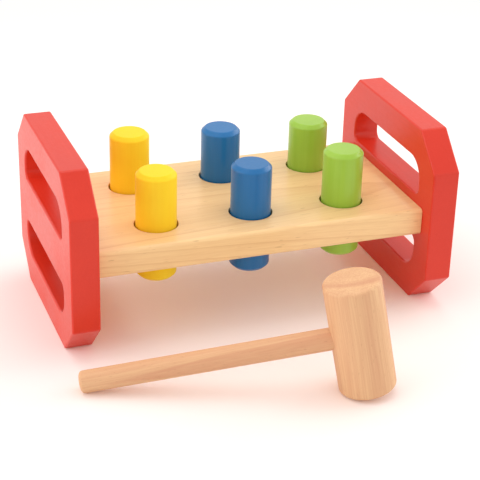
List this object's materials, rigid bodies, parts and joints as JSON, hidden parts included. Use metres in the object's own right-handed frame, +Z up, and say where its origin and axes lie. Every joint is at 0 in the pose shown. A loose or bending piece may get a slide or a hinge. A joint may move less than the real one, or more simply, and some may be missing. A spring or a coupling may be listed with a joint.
{
  "type": "peg pounding bench",
  "caption": "Wooden toy bench with octagonal end panels, a drilled board and round pegs that a mallet hammers through to the other side.",
  "frame": {"origin": "middle of the footprint of the bench and its mallet together, on the table", "axes": "+X along the board from the yellow to the green pegs, +Y from the mallet towards the bench, +Z up"},
  "size_m": [0.2586, 0.2384, 0.12],
  "materials": {
    "red_paint": "satin paint on wood",
    "lacquered_wood": "clear satin lacquer",
    "yellow_paint": "satin paint on wood",
    "blue_paint": "satin paint on wood",
    "green_paint": "satin paint on wood",
    "mallet_wood": "bare sanded beech",
    "dowel_wood": "bare fluted beech",
    "ring_rubber": "matt"
  },
  "bodies": {
    "bench": {"left_end_panel": "red_paint", "right_end_panel": "red_paint", "board": "lacquered_wood", "left_back_ring": "ring_rubber", "left_front_ring": "ring_rubber", "middle_back_ring": "ring_rubber", "middle_front_ring": "ring_rubber", "right_back_ring": "ring_rubber", "right_front_ring": "ring_rubber", "left_back_dowel": "dowel_wood", "left_front_dowel": "dowel_wood", "right_back_dowel": "dowel_wood", "right_front_dowel": "dowel_wood"},
    "yellow_back_peg": {"yellow_back_peg": "yellow_paint"},
    "yellow_front_peg": {"yellow_front_peg": "yellow_paint"},
    "blue_back_peg": {"blue_back_peg": "blue_paint"},
    "blue_front_peg": {"blue_front_peg": "blue_paint"},
    "green_back_peg": {"green_back_peg": "green_paint"},
    "green_front_peg": {"green_front_peg": "green_paint"},
    "mallet": {"mallet_head": "mallet_wood", "mallet_handle": "mallet_wood"}
  },
  "joints": [
    {"name": "yellow_back_slide", "type": "slide", "parent": "bench", "child": "yellow_back_peg", "axis": [0, 0, 1], "range_m": [-0.0355, 0.012]},
    {"name": "yellow_front_slide", "type": "slide", "parent": "bench", "child": "yellow_front_peg", "axis": [0, 0, 1], "range_m": [-0.0332, 0.0143]},
    {"name": "blue_back_slide", "type": "slide", "parent": "bench", "child": "blue_back_peg", "axis": [0, 0, 1], "range_m": [-0.032, 0.0155]},
    {"name": "blue_front_slide", "type": "slide", "parent": "bench", "child": "blue_front_peg", "axis": [0, 0, 1], "range_m": [-0.0306, 0.0169]},
    {"name": "green_back_slide", "type": "slide", "parent": "bench", "child": "green_back_peg", "axis": [0, 0, 1], "range_m": [-0.0302, 0.0173]},
    {"name": "green_front_slide", "type": "slide", "parent": "bench", "child": "green_front_peg", "axis": [0, 0, 1], "range_m": [-0.033, 0.0145]},
    {"name": "mallet_lift", "type": "slide", "parent": "bench", "child": "mallet", "axis": [0, 0, 1], "range_m": [0, 0.15]}
  ]
}
